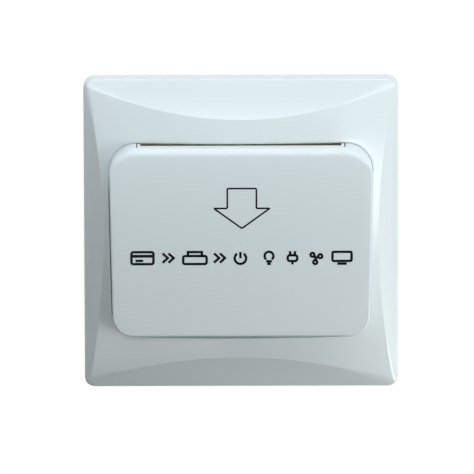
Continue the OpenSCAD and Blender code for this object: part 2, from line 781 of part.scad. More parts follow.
module microswitch_case() {
    fix_r = 1.2;
    fix_pitch = 9.5;
    fix_up = 3;
    groove = knuckle_r + knuckle_play;
    color(charcoal) stand() switch_legs();
    color(charcoal) stand() difference() {
        translate([-case_w / 2, case_y0, case_bottom]) cube([case_w, case_l, case_h]);
        translate([-plunger_w / 2 - plunger_play, plunger_y - plunger_l / 2 - plunger_play,
            leaf_back - push_gap - plunger_h - plunger_room])
            cube([plunger_w + 2 * plunger_play, plunger_l + 2 * plunger_play, case_h]);
        for (s = [-1, 1]) translate([-case_w, case_y0 + case_l / 2 + s * fix_pitch / 2, case_bottom + fix_up])
            rotate([0, 90, 0]) cylinder(r = fix_r, h = 2 * case_w);
        translate([-case_w, leaf_y, leaf_z]) rotate([0, 90, 0]) cylinder(r = groove, h = 2 * case_w);
    }
}

module microswitch_plunger() {
    top = leaf_back - push_gap;
    half = plunger_l / 2;
    color([0.75, 0.15, 0.12]) stand() rotate([90, 0, 90]) linear_extrude(plunger_w, center = true)
        polygon(concat([[plunger_y - half, top - plunger_h], [plunger_y + half, top - plunger_h]],
            arc([plunger_y, top - half], half, 0, 180)));
}

module microswitch_leaf() {
    color(steel) stand() translate([-leaf_w / 2, leaf_y, leaf_z]) rotate([leaf_angle, 0, 0]) {
        translate([0, 0, -leaf_t / 2]) cube([leaf_w, leaf_l, leaf_t]);
        rotate([0, 90, 0]) cylinder(r = knuckle_r, h = leaf_w);
    }
}

// A moulded case standing on the board's back, given by its corner, its size and its height off the board
module on_back(x, y, w, l, h, r = 0.4) {
    translate([x + w / 2, y + l / 2, board_back - h]) linear_extrude(h - touch) case_outline(w, l, r);
}

// Rectangle with rounded corners
module case_outline(w, l, r) {
    polygon(concat(arc([w / 2 - r, l / 2 - r], r, 0, 90), arc([r - w / 2, l / 2 - r], r, 90, 180),
        arc([r - w / 2, r - l / 2], r, 180, 270), arc([w / 2 - r, r - l / 2], r, 270, 360)));
}

module relay() {
    color([0.15, 0.3, 0.62]) stand() on_back(relay_x, relay_y, relay_w, relay_l, relay_h, 1);
}

module film_capacitor() {
    film_y = board_h / 2 - film_l - part_gap;
    color([0.85, 0.66, 0.2]) stand() on_back(-film_w / 2, film_y, film_w, film_l, film_h, 1);
}

// Upright can with the rolled groove near its foot
module electrolytic_capacitor() {
    groove_r = 0.7;
    groove_up = 2.2;
    can_y = board_h / 2 - film_l - 2 * part_gap - can_r;
    color(charcoal) stand() translate([part_x + can_r, can_y, board_back - can_h]) difference() {
        cylinder(r = can_r, h = can_h - touch);
        translate([0, 0, can_h - groove_up]) rotate_extrude() translate([can_r + groove_r - can_groove, 0])
            circle(groove_r);
    }
}

module varistor() {
    lead_pitch = 5;
    color([0.15, 0.35, 0.6]) stand() translate([disc_x, disc_y, board_back]) {
        translate([0, 0, -disc_r - disc_lift]) rotate([0, 90, 0]) cylinder(r = disc_r, h = disc_t);
        for (s = [-1, 1]) translate([disc_t / 2 + s, s * lead_pitch / 2, -2 * disc_lift])
            cylinder(r = lead_r, h = 2 * disc_lift - touch);
    }
}

module fuse() {
    color([0.35, 0.2, 0.12]) stand() translate([fuse_x, fuse_y, board_back - fuse_h])
        cylinder(r = fuse_r, h = fuse_h - touch);
}

module bridge_rectifier() {
    color(charcoal) stand() on_back(part_x, bridge_y, bridge_w, bridge_l, bridge_h);
}

// Small chip with a row of bent legs on each long side
module control_chip() {
    mark_r = 0.8;
    mark_h = 0.6;
    leg_h = chip_h * 0.55;
    first_leg = chip_x + chip_w / 2 - (chip_legs - 1) / 2 * chip_leg_pitch - chip_leg_w / 2;
    color(charcoal) stand() {
        difference() {
            on_back(chip_x, chip_y, chip_w, chip_l, chip_h);
            translate([chip_x, chip_y + chip_l / 2, board_back - chip_h - over])
                cylinder(r = mark_r, h = over + mark_h);
        }
        for (i = [0:chip_legs - 1])
            translate([first_leg + i * chip_leg_pitch, chip_y - chip_leg, board_back - leg_h]) {
                cube([chip_leg_w, chip_l + 2 * chip_leg, chip_leg_t]);
                for (s = [0, chip_l + 2 * chip_leg - chip_leg_t]) translate([0, s, 0])
                    cube([chip_leg_w, chip_leg_t, leg_h - touch]);
            }
    }
}

// Three lying resistors, with dog-bone bodies
module resistors() {
    color([0.72, 0.6, 0.42]) stand() for (i = [0:2])
        translate([part_x, resistor_y + resistor_r + i * resistor_pitch, board_back - resistor_r - touch])
            rotate([0, 90, 0]) {
                cylinder(r = resistor_waist_r, h = resistor_l);
                cylinder(r = resistor_r, h = resistor_cap_l);
                translate([0, 0, resistor_l - resistor_cap_l]) cylinder(r = resistor_r, h = resistor_cap_l);
            }
}

// Centre of each terminal along the block
function pole_x(i) = (i - (poles - 1) / 2) * pole_pitch;

module terminal_block() {
    chamber_w = clamp_w + 2 * clamp_play;
    color([0.2, 0.45, 0.3]) stand() difference() {
        translate([-block_w / 2, block_bottom, block_rear])
            cube([block_w, block_h, board_back - touch - block_rear]);
        for (i = [0:poles - 1]) translate([pole_x(i), 0, 0]) {
            translate([-chamber_w / 2, block_bottom - over, clamp_rear - clamp_play])
                cube([chamber_w, clamp_y0 - block_bottom + over + clamp_len + clamp_play,
                    clamp_front - clamp_rear + 2 * clamp_play]);
            translate([0, clamp_y0 + clamp_len / 2, block_rear - over])
                cylinder(r = terminal_head_r + clamp_play, h = over + clamp_rear - block_rear);
            translate([0, clamp_y0 + clamp_len / 2, clamp_front + housing_d / 2])
                cube([tail_w + 2 * clamp_play, tail_t + 2 * clamp_play, housing_d], center = true);
        }
    }
}

module terminal_clamps() {
    color(brass) stand() for (i = [0:poles - 1]) translate([pole_x(i), clamp_y0, 0]) difference() {
        union() {
            translate([-clamp_w / 2, 0, clamp_rear]) cube([clamp_w, clamp_len, clamp_front - clamp_rear]);
            translate([-tail_w / 2, clamp_len / 2 - tail_t / 2, clamp_front - touch])
                cube([tail_w, tail_t, board_back - clamp_front]);
        }
        translate([-wire_w / 2, -over, clamp_rear + clamp_rear_t])
            cube([wire_w, clamp_len + 2 * over, wire_h]);
        translate([0, clamp_len / 2, clamp_rear - over])
            cylinder(r = terminal_screw_r + pilot_play, h = clamp_rear_t + 2 * over);
    }
}

module terminal_screws() {
    slot = 0.8;
    head_sunk = 0.2;
    end_gap = 0.1;
    head_z = block_rear + head_sunk;
    color(steel) stand() for (i = [0:poles - 1])
        translate([pole_x(i), clamp_y0 + clamp_len / 2, head_z]) difference() {
            union() {
                cylinder(r = terminal_head_r, h = terminal_head_h);
                cylinder(r = terminal_screw_r, h = clamp_rear + clamp_rear_t - head_z - end_gap);
            }
            translate([-terminal_head_r - over, -slot / 2, -over])
                cube([2 * (terminal_head_r + over), slot, slot + over]);
        }
}

front_frame();
pocket_cover();
card_guide();
card_lever();
lever_pin();
lever_spring();
cover_screws();
panel_screws();
mounting_yoke();
rear_housing();
housing_screws();
circuit_board();
board_screws();
microswitch_case();
microswitch_plunger();
microswitch_leaf();
relay();
film_capacitor();
electrolytic_capacitor();
varistor();
fuse();
bridge_rectifier();
resistors();
control_chip();
terminal_block();
terminal_clamps();
terminal_screws();
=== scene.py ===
import bpy
import numpy as np
from mathutils import Matrix, Vector


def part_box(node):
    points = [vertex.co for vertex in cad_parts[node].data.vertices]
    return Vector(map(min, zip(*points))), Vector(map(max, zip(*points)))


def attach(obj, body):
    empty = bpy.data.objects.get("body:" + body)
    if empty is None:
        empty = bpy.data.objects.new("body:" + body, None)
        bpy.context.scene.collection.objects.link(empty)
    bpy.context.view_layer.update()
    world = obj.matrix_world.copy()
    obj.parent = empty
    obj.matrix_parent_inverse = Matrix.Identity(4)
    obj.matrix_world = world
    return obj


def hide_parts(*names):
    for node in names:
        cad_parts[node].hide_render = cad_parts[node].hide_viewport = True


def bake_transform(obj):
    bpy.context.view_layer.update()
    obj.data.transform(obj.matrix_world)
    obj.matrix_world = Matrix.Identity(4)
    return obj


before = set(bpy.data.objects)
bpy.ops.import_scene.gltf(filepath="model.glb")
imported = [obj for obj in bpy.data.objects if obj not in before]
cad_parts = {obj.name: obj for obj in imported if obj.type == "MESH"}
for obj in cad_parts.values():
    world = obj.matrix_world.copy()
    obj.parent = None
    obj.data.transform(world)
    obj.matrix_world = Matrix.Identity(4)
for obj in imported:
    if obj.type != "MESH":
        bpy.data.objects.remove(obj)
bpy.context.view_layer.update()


# Rear housing: the box that sits in the wall box and holds the circuit board.
# Off-white flame-resistant plastic, injection moulded with a fine spark-eroded grain, screwed to the plate.
def graph(name):
    """A new material, with its node tree and the surface shader in it."""
    material = bpy.data.materials.new(name)
    material.use_nodes = True
    tree = material.node_tree
    return material, tree, tree.nodes["Principled BSDF"]


def noise(tree, scale, detail=2.0, stretch=None):
    """Noise on Object coordinates, in cells about 1 / scale metres across, drawn out along an axis if asked."""
    place = tree.nodes.new("ShaderNodeTexCoord")
    texture = tree.nodes.new("ShaderNodeTexNoise")
    texture.inputs["Scale"].default_value = scale
    texture.inputs["Detail"].default_value = detail
    source = place.outputs["Object"]
    if stretch:
        turn = tree.nodes.new("ShaderNodeMapping")
        turn.inputs["Scale"].default_value = stretch
        tree.links.new(source, turn.inputs["Vector"])
        source = turn.outputs["Vector"]
    tree.links.new(source, texture.inputs["Vector"])
    return texture.outputs["Fac"]


def spread(tree, value, low, high):
    """The noise value's useful middle, 0.3 to 0.7, stretched to run from low to high."""
    ramp = tree.nodes.new("ShaderNodeMapRange")
    ramp.inputs["From Min"].default_value = 0.3
    ramp.inputs["From Max"].default_value = 0.7
    ramp.inputs["To Min"].default_value = low
    ramp.inputs["To Max"].default_value = high
    tree.links.new(value, ramp.inputs["Value"])
    return ramp.outputs["Result"]


def blend(tree, factor, first, second):
    """Colour that goes from first to second as the factor goes from 0 to 1."""
    mix = tree.nodes.new("ShaderNodeMix")
    mix.data_type = "RGBA"
    mix.inputs["A"].default_value = (*first, 1.0)
    mix.inputs["B"].default_value = (*second, 1.0)
    tree.links.new(factor, mix.inputs["Factor"])
    return mix.outputs["Result"]


def grain(tree, shader, height, depth):
    """Bump of a real depth in metres, laid on the surface from a height value."""
    bump = tree.nodes.new("ShaderNodeBump")
    bump.inputs["Distance"].default_value = depth
    bump.inputs["Strength"].default_value = 1.0
    tree.links.new(height, bump.inputs["Height"])
    tree.links.new(bump.outputs["Normal"], shader.inputs["Normal"])


def moulded(name, colour, shade, roughness, cell=0.0006, depth=0.000004, cloud=0.025, wander=0.15, index=1.5):
    """Moulded plastic: colour drifting to shade in broad clouds, gloss that wanders by a part of itself, and a
    fine skin grain."""
    material, tree, shader = graph(name)
    tree.links.new(blend(tree, spread(tree, noise(tree, 1 / cloud), 0, 1), colour, shade),
                   shader.inputs["Base Color"])
    tree.links.new(spread(tree, noise(tree, 3 / cloud, 3), roughness * (1 - wander), roughness * (1 + wander)),
                   shader.inputs["Roughness"])
    grain(tree, shader, noise(tree, 1 / cell, 3), depth)
    shader.inputs["IOR"].default_value = index
    return material


def dress(material, *names):
    """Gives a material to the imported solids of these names."""
    for name in names:
        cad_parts[name].material_slots[0].material = material


dress(moulded("inner_plastic", (0.70, 0.69, 0.63), (0.66, 0.65, 0.59), 0.46, 0.0005, 0.000012),
      "rear_housing")

# Terminal block with its clamps and screws: mains wires enter from below and are pinched in brass cages.
# Green polyamide moulding, bright rolled brass, zinc-plated slotted screws with turning marks.
dress(moulded("block_green", (0.035, 0.16, 0.075), (0.028, 0.13, 0.062), 0.42, 0.0005, 0.000008),
      "terminal_block")


def metal(name, colour, shade, roughness, stretch=(1.0, 1.0, 1.0), cell=0.0008, depth=0.000002, wander=0.3):
    """Bare metal: fine streaks drawn out along one axis vary its colour, its surface and, by a part of itself,
    its gloss."""
    material, tree, shader = graph(name)
    streak = noise(tree, 1 / cell, 4, stretch)
    tree.links.new(blend(tree, spread(tree, streak, 0, 1), colour, shade), shader.inputs["Base Color"])
    tree.links.new(spread(tree, streak, roughness * (1 - wander), roughness * (1 + wander)),
                   shader.inputs["Roughness"])
    grain(tree, shader, streak, depth)
    shader.inputs["Metallic"].default_value = 1.0
    return material


dress(metal("brass", (0.78, 0.56, 0.24), (0.66, 0.45, 0.18), 0.28, (1, 0.1, 1)), "terminal_clamps")
zinc = metal("zinc_plate", (0.62, 0.63, 0.65), (0.52, 0.53, 0.56), 0.3)
dress(zinc, "terminal_screws", "housing_screws", "board_screws", "cover_screws", "panel_screws")


# Circuit board: glass-fibre laminate with a green solder lacquer over its copper tracks.
# The tracks show through the lacquer as a slightly lighter, raised net.
def board_lacquer(scale=260.0, rise=0.00003, roughness=0.3):
    """Green lacquer; square Voronoi cells stand for the tracks, whose borders are lighter and raised."""
    material, tree, shader = graph("board_green")
    place = tree.nodes.new("ShaderNodeTexCoord")
    cells = tree.nodes.new("ShaderNodeTexVoronoi")
    cells.feature = "F1"
    cells.distance = "CHEBYCHEV"
    cells.inputs["Scale"].default_value = scale
    tree.links.new(place.outputs["Object"], cells.inputs["Vector"])
    track = spread(tree, cells.outputs["Distance"], 0, 1)
    tree.links.new(blend(tree, track, (0.015, 0.12, 0.04), (0.03, 0.21, 0.07)), shader.inputs["Base Color"])
    grain(tree, shader, track, rise)
    shader.inputs["Roughness"].default_value = roughness
    return material


dress(board_lacquer(), "circuit_board")

# Parts on the board: relay, capacitors, surge disc, fuse, bridge, resistors and chip.
# Moulded or lacquered cases, each in the usual colour of its kind, soldered into the board.
dress(moulded("relay_blue", (0.02, 0.07, 0.28), (0.016, 0.06, 0.24), 0.36), "relay")
dress(moulded("film_yellow", (0.62, 0.36, 0.03), (0.56, 0.32, 0.026), 0.34), "film_capacitor")
dress(moulded("surge_blue", (0.02, 0.09, 0.26), (0.016, 0.075, 0.22), 0.24, 0.0014, 0.00002), "varistor")
dress(moulded("fuse_brown", (0.06, 0.026, 0.012), (0.05, 0.021, 0.01), 0.4), "fuse")
dress(moulded("black_moulding", (0.014, 0.014, 0.016), (0.02, 0.02, 0.022), 0.5, 0.0004, 0.00001),
      "bridge_rectifier", "control_chip", "microswitch_case")


def banded(name, body, axis, low, high, bands, scale=900.0, depth=0.000015, roughness=0.32):
    """Lacquer with colour bands at fractions of the way from low to high along one axis, in metres."""
    material, tree, shader = graph(name)
    place = tree.nodes.new("ShaderNodeTexCoord")
    split = tree.nodes.new("ShaderNodeSeparateXYZ")
    along = tree.nodes.new("ShaderNodeMapRange")
    ramp = tree.nodes.new("ShaderNodeValToRGB")
    along.inputs["From Min"].default_value = low
    along.inputs["From Max"].default_value = high
    ramp.color_ramp.interpolation = "CONSTANT"
    ramp.color_ramp.elements[0].color = (*body, 1.0)
    ramp.color_ramp.elements[1].position = 0.999
    ramp.color_ramp.elements[1].color = (*body, 1.0)
    for start, stop, colour in bands:
        ramp.color_ramp.elements.new(start).color = (*colour, 1.0)
        ramp.color_ramp.elements.new(stop).color = (*body, 1.0)
    tree.links.new(place.outputs["Object"], split.inputs["Vector"])
    tree.links.new(split.outputs[axis], along.inputs["Value"])
    tree.links.new(along.outputs["Result"], ramp.inputs["Fac"])
    tree.links.new(ramp.outputs["Color"], shader.inputs["Base Color"])
    grain(tree, shader, noise(tree, scale, 3), depth)
    shader.inputs["Roughness"].default_value = roughness
    return material


low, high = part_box("resistors")
dress(banded("resistor_tan", (0.42, 0.28, 0.13), "X", low.x, high.x,
             [(0.14, 0.22, (0.18, 0.06, 0.02)), (0.36, 0.44, (0.01, 0.01, 0.01)),
              (0.54, 0.62, (0.4, 0.03, 0.02)), (0.8, 0.88, (0.5, 0.36, 0.08))]), "resistors")
low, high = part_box("electrolytic_capacitor")
dress(banded("can_sleeve", (0.012, 0.013, 0.03), "X", low.x, high.x, [(0.02, 0.22, (0.4, 0.42, 0.46))]),
      "electrolytic_capacitor")

# Small switch: its red plunger and the sprung steel leaf that the card lever leans on.
# The leaf is blanked from strip, so its streaks run along it.
dress(moulded("plunger_red", (0.42, 0.03, 0.02), (0.36, 0.025, 0.018), 0.32), "microswitch_plunger")
dress(metal("spring_strip", (0.6, 0.6, 0.6), (0.5, 0.5, 0.52), 0.24, (1, 1, 0.08)), "microswitch_leaf")

# Fixing plate: the flat moulding that two wall screws hold to the box, with posts that the front snaps over.
# Off-white plastic as the housing's, a little glossier where it was pushed out of the tool.
dress(moulded("plate_plastic", (0.72, 0.71, 0.66), (0.68, 0.67, 0.62), 0.4, 0.0006, 0.00001), "mounting_yoke")

# Card guide and lever: the cream moulding behind the pocket and the sprung lever that the card pushes back.
# The guide's lip is what shows along the slot; the lever turns on a ground steel pin.
cream = moulded("guide_cream", (0.86, 0.85, 0.77), (0.84, 0.83, 0.74), 0.38)
dress(cream, "card_guide", "card_lever")
dress(metal("ground_pin", (0.64, 0.65, 0.66), (0.55, 0.56, 0.58), 0.2, (0.1, 1, 1)), "lever_pin")

# Lever spring: three turns of wire round the pin, one leg against the guide and one behind the lever's arm.
# Drawn spring steel; it twists along the pin as the lever turns, so it is bent between the two.
wire_r, coil_r, coil_left, coil_pitch, coil_turns = 0.3, 2.0, 3.3, 1.15, 3
coil_y, coil_z = 4.0, 8.0
leg, leg_tilt = 7.0, np.radians(14)
turn_steps = 24
millimetre = 0.001
plan_to_world = np.array([[1, 0, 0], [0, 0, 1], [0, -1, 0]])


def skin(name, grids, crease=35.0):
    """One mesh from grids of points, rows by stations, each closed round its stations. Points that coincide
    are merged, so a row drawn to one point closes an end, and faces that lose their area are dropped."""
    ids, points, start = [], [], 0
    for grid in grids:
        rows, stations = grid.shape[:2]
        index = start + np.arange(rows * stations).reshape(rows, stations)
        after = np.roll(index, -1, axis=1)
        ids.append(np.stack([index[:-1], index[1:], after[1:], after[:-1]], -1).reshape(-1, 4))
        points.append(grid.reshape(-1, 3))
        start += rows * stations
    points, ids = np.concatenate(points), np.concatenate(ids)
    merged, back = np.unique(np.round(points, 4), axis=0, return_inverse=True)
    ids = back.reshape(-1)[ids]
    same = ids == np.roll(ids, -1, axis=1)
    folded = (ids[:, 0] == ids[:, 2]) | (ids[:, 1] == ids[:, 3])
    quads = ids[~same.any(1) & ~folded]
    thin = ids[(same.sum(1) == 1) & ~folded]
    first = np.argmax(thin == np.roll(thin, -1, axis=1), axis=1)[:, None]
    corners = np.take_along_axis(thin, (first + 1 + np.arange(3)) % 4, axis=1)
    mesh = bpy.data.meshes.new(name)
    mesh.from_pydata((merged * millimetre @ plan_to_world).tolist(), [], quads.tolist() + corners.tolist())
    mesh.shade_smooth()
    mesh.set_sharp_from_angle(angle=np.radians(crease))
    piece = bpy.data.objects.new(name, mesh)
    bpy.context.scene.collection.objects.link(piece)
    return piece


def wire(route, radius, sides=12):
    """Round tube carried along a route that runs mostly across x: at each point the section is spanned by the
    direction nearest to x and the one square to it and to the route, and the ends are drawn to one point."""
    along = np.gradient(route, axis=0)
    along /= np.linalg.norm(along, axis=1, keepdims=True)
    side = np.array([1.0, 0.0, 0.0]) - along[:, :1] * along
    side /= np.linalg.norm(side, axis=1, keepdims=True)
    turn = np.linspace(0, -2 * np.pi, sides, endpoint=False)[:, None]
    square = np.cross(along, side)
    ring = route[:, None] + radius * (np.cos(turn) * side[:, None] + np.sin(turn) * square[:, None])
    ends = np.broadcast_to(route[[0, -1], None], (2, sides, 3))
    return np.concatenate([ends[:1], ring, ends[1:]])


def spring_route():
    """A leg from above, a helix about the pin whose angle grows evenly as it moves to the left, and a leg that
    leaves along the helix's last direction, under the arm."""
    turn = np.linspace(0, 2 * np.pi * coil_turns + leg_tilt, turn_steps * coil_turns + 1)
    x = np.linspace(coil_left + coil_pitch * coil_turns, coil_left, len(turn))
    coil = np.stack([x, coil_y - coil_r * np.sin(turn), coil_z - coil_r * np.cos(turn)], -1)
    first = coil[:1] + np.array([0.0, leg, 0.0])
    last = coil[-1:] + leg * np.array([0.0, -np.cos(leg_tilt), np.sin(leg_tilt)])
    return np.concatenate([first, coil, last])


torsion_spring = skin("torsion_spring", [wire(spring_route(), wire_r)])
torsion_spring.data.materials.append(metal("drawn_wire", (0.55, 0.55, 0.56), (0.42, 0.42, 0.44), 0.26))
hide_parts("lever_spring")
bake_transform(torsion_spring)

# Front frame: the crowned outer moulding that shows as a white square with four lens-shaped hollows.
# Cool white glossy plastic, 2 mm thick, with a collar, four screw bosses and four snap ledges behind it.
frame_half = 43.0
frame_corner = 3.0
rim_h = 5.0
rim_round = 0.9
back_round = 0.3
crown_h = 15.2
dome_r = 190.0
top_slope, bottom_slope, end_hollow = np.radians(35.5), np.radians(37.2), 0.3
flank_slope, flank_hollow = np.radians(50.0), 0.45
crease_soft, corner_soft, corner_power, corner_rise = 0.07, 1.2, 5.5, 4.0
wall = 2.0
collar = 1.5
collar_back = 7.05
top_play, left_play, right_play, bottom_play = 0.1, 0.33, 0.06, 0.36
left_play_top, left_play_fade = 20.0, 8.0
opening_round = 0.15
relief, relief_sill = 1.55, 9.9
cover_top_w, cover_bottom_w, cover_h = 72.2, 70.0, 52.0
cover_top_corner, cover_bottom_corner = 7.4, 5.6
corner_steps, side_steps, top_steps = 25, 90, 120
front_rows, front_gather, rim_rows, foot_rows, roof_rows, lip_rows = 22, 1.6, 9, 4, 24, 5
probes, crease_near, crease_far, nudge = 400, 0.1, 0.97, 0.05


def panel_track(top_w, bottom_w, height, top_r, bottom_r, side, top):
    """Outline of a panel whose sides may lean, anticlockwise from the lower right corner: its points and their
    outward directions. Each corner is an arc that touches both its edges, and along a side the centre and the
    radius go evenly from one arc's to the other's. top gives the places of the points on the top edge, as
    fractions from 1 to -1 of the half width between the arcs; the bottom edge has as many, evenly spaced."""
    lean = np.arctan2((top_w - bottom_w) / 2, height)
    turn = np.concatenate([np.linspace(-np.pi / 2, -lean, corner_steps), np.full(side, -lean),
                           np.linspace(-lean, np.pi / 2, corner_steps)])
    up = np.concatenate([np.zeros(corner_steps), np.linspace(0, 1, side + 2)[1:-1], np.ones(corner_steps)])
    radius = bottom_r + (top_r - bottom_r) * up
    y = bottom_r - height / 2 + (height - top_r - bottom_r) * up
    x = (top_w + bottom_w) / 4 + y * np.tan(lean) - radius / np.cos(lean)
    across = np.linspace(1, -1, len(top) + 2)[1:-1]
    right = np.stack([x + radius * np.cos(turn), y + radius * np.sin(turn)], -1)
    over = np.stack([x[-1] * top, np.full(len(top), height / 2)], -1)
    under = np.stack([-x[0] * across, np.full(len(top), -height / 2)], -1)
    upward = np.full(len(top), np.pi / 2)
    turns = np.concatenate([turn, upward, np.pi - turn[::-1], -upward])
    return (np.concatenate([right, over, right[::-1] * np.array([-1, 1]), under]),
            np.stack([np.cos(turns), np.sin(turns)], -1))


def dome(x, y, thick=0.0):
    """Height of a sphere of radius dome_r whose top is crown_h above the wall, less a wall thickness."""
    return crown_h - dome_r + np.sqrt((dome_r - thick) ** 2 - x * x - y * y)


def scoop(inward, along, slope, hollow):
    """One hollow side: from the rim it rises inwards to the sphere, reaching it where a plane of that slope
    would. Between them it sags below the plane, most in the middle of the side and not at all in the
    corners."""
    rise = np.tan(slope)
    drop = rim_h - crown_h + dome_r
    a, b = 1 + rise ** 2, 2 * (drop * rise - frame_half)
    c = along ** 2 + frame_half ** 2 + drop ** 2 - dome_r ** 2
    reach = (np.sqrt(b * b - 4 * a * c) - b) / (2 * a)
    u = inward / reach
    sag = hollow * (1 - (along / frame_half) ** 2)
    return rim_h + rise * reach * (u - sag * u * (1 - u))


def end_slope(y):
    """Slope of the side above the middle or of the one below it, which is a little steeper."""
    return np.where(y > 0, top_slope, bottom_slope)


def soft_min(first, second, width):
    """The smaller of two heights, with the crease between them rounded over a width that may vary."""
    h = np.clip(0.5 + 0.5 * (second - first) / width, 0, 1)
    return second + (first - second) * h - width * h * (1 - h)


def crown(x, y):
    """Front of the frame: the sphere cut by four hollow sides. The creases are crisp halfway along each side
    and grow soft towards the corners, in step with the height left above the rim, so the rim stays level."""
    slope, x, y = end_slope(y), np.abs(x), np.abs(y)
    left_over = np.clip(dome(x, y) - rim_h, 0, corner_rise)
    soft = crease_soft + corner_soft * (x * y / frame_half ** 2) ** corner_power * left_over
    ends = soft_min(dome(x, y), scoop(frame_half - y, x, slope, end_hollow), soft)
    return soft_min(ends, scoop(frame_half - x, y, flank_slope, flank_hollow), soft)


def roof(x, y):
    """Underside of the frame's front: the sphere and the planes of the four sides, each a wall deeper."""
    ends = rim_h + (frame_half - np.abs(y)) * np.tan(end_slope(y)) - wall / np.cos(end_slope(y))
    sides = rim_h + (frame_half - np.abs(x)) * np.tan(flank_slope) - wall / np.cos(flank_slope)
    return np.minimum(np.minimum(dome(x, y, wall), ends), sides)


def lift(flat, z):
    """Points of the plan with a height: one number, or one for each point."""
    return np.concatenate([flat, np.broadcast_to(np.asarray(z, float), flat.shape[:-1])[..., None]], -1)


def bend(start, corner, end, steps):
    """Rows of a quadratic curve from start to end that leaves and arrives pointing at the corner."""
    t = np.linspace(0, 1, steps)[:, None, None]
    return (1 - t) ** 2 * start + 2 * t * (1 - t) * corner + t ** 2 * end


def post(x, y, profile, stations=32):
    """Turned shape round an axis out of the wall, from pairs of radius and height. A pair with no radius draws
    it to the axis."""
    turn = np.linspace(0, 2 * np.pi, stations, endpoint=False)
    radius, height = np.array(profile).T
    return np.stack([x + radius[:, None] * np.cos(turn), y + radius[:, None] * np.sin(turn),
                     np.broadcast_to(height[:, None], (len(height), stations))], -1)


def bar(low, high, edge=0.15):
    """Box between two corners with its edges along x and y chamfered."""
    (x0, y0, z0), (x1, y1, z1) = low, high
    inset = np.array([(x1 - x0) / 2, edge, 0, 0, edge, (x1 - x0) / 2])[:, None]
    inset_y = np.array([(y1 - y0) / 2, edge, 0, 0, edge, (y1 - y0) / 2])[:, None]
    height = np.array([z1, z1, z1 - edge, z0 + edge, z0, z0])[:, None]
    x = np.array([x0, x1, x1, x0]) + inset * np.array([1, -1, -1, 1])
    y = np.array([y0, y0, y1, y1]) + inset_y * np.array([1, 1, -1, -1])
    return np.stack([x, y, np.broadcast_to(height, x.shape)], -1)


def frame_shell():
    """Closed profile carried round the frame: from the opening's edge over the front to the rim, down the side,
    along the back edge, up inside, under the roof, down the collar and up the opening's wall. The opening is a
    grown copy of the cover's outline, with its own play on each side, which closes up at the left's top, and a
    relief along the bottom that fades out in the corners and ends on a sill. The rows of the front gather at
    the crease between the sphere and its hollow sides, which probes find along each line from lip to rim."""
    even = np.linspace(1, -1, top_steps + 2)[1:-1]
    line, way = panel_track(cover_top_w, cover_bottom_w, cover_h, cover_top_corner, cover_bottom_corner,
                            side_steps, even)
    right, up = np.clip(way, 0, 1).T[..., None]
    left, down = np.clip(-way, 0, 1).T[..., None]
    left_gap = left_play * np.clip((left_play_top - line[:, 1:]) / left_play_fade, 0, 1)
    play = right_play * right ** 2 + left_gap * left ** 2 + top_play * up ** 2 + bottom_play * down ** 2
    hole = line + play * way
    mouth = hole + relief * down ** 4 * way
    lip = mouth + opening_round * way
    neck = mouth + collar * way
    edge, way = panel_track(2 * frame_half, 2 * frame_half, 2 * frame_half, frame_corner, frame_corner,
                            side_steps, even)
    inset = edge - rim_round * way
    sample = np.linspace(0, 1, probes + 1)[:, None, None]
    ray = lip + (inset - lip) * sample
    x, y = np.abs(np.moveaxis(ray, -1, 0))
    cut = np.minimum(scoop(frame_half - y, x, end_slope(ray[..., 1]), end_hollow),
                     scoop(frame_half - x, y, flank_slope, flank_hollow)) < dome(x, y)
    crease = np.where(cut.any(0), np.argmax(cut, axis=0) / probes, crease_far)
    crease = crease.clip(crease_near, crease_far)[:, None]
    part = np.linspace(0, 1, front_rows)[:, None, None]
    inner = crease * (1 - (1 - part) ** front_gather)
    outer = crease + (1 - crease) * part[1:] ** front_gather
    plan = lip + (inset - lip) * np.concatenate([inner, outer])
    front = lift(plan, crown(plan[..., 0], plan[..., 1]))
    step = inset - nudge * way
    fall = (crown(step[:, 0], step[:, 1]) - front[-1, :, 2]) / nudge
    brow = lift(edge, front[-1, :, 2] - rim_round * fall)
    rim = bend(front[-1], brow, brow - np.array([0, 0, rim_round]), rim_rows)[1:]
    foot = bend(lift(edge, back_round), lift(edge, 0), lift(edge - back_round * way, 0), foot_rows)
    bay = edge - wall * way
    under = bay + (neck - bay) * np.linspace(0, 1, roof_rows)[:, None, None]
    ceiling = lift(under, roof(under[..., 0], under[..., 1]))
    brink = crown(lip[:, 0], lip[:, 1])
    edge_bend = bend(lift(mouth, brink - opening_round), lift(mouth, brink), front[0], lip_rows)
    return np.concatenate([front, rim, foot, lift(bay, 0)[None], ceiling, lift(neck, collar_back)[None],
                           lift(hole, collar_back)[None], lift(hole, relief_sill)[None],
                           lift(mouth, relief_sill)[None], edge_bend])


four_corners = [(-1, -1), (-1, 1), (1, -1), (1, 1)]
boss_at, boss_r, boss_top, boss_edge = (24.0, 30.05), 2.8, 10.3, 0.2
pilot_r, pilot_top = 0.9, 9.8
boss_profile = [(0, boss_top), (boss_r, boss_top), (boss_r, collar_back + boss_edge),
                (boss_r - boss_edge, collar_back), (pilot_r, collar_back), (pilot_r, pilot_top), (0, pilot_top)]
ledge_in, ledge_out, ledge_y, ledge_half = 38.9, 41.6, 10.7, 4.5
ledge_back, ledge_front = 2.6, 3.9
behind = [post(sx * boss_at[0], sy * boss_at[1], boss_profile) for sx, sy in four_corners]
for sx, sy in four_corners:
    near, far = sorted([sx * ledge_in, sx * ledge_out])
    behind.append(bar((near, sy * ledge_y - ledge_half, ledge_back),
                      (far, sy * ledge_y + ledge_half, ledge_front)))
white = moulded("white_shell", (0.69, 0.775, 0.795), (0.684, 0.768, 0.788), 0.22, 0.0016, 0.0000012, 0.03, 0.03,
                1.58)
crowned_frame = skin("crowned_frame", [frame_shell(), *behind])
crowned_frame.data.materials.append(white)
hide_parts("front_frame")
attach(crowned_frame, "base")

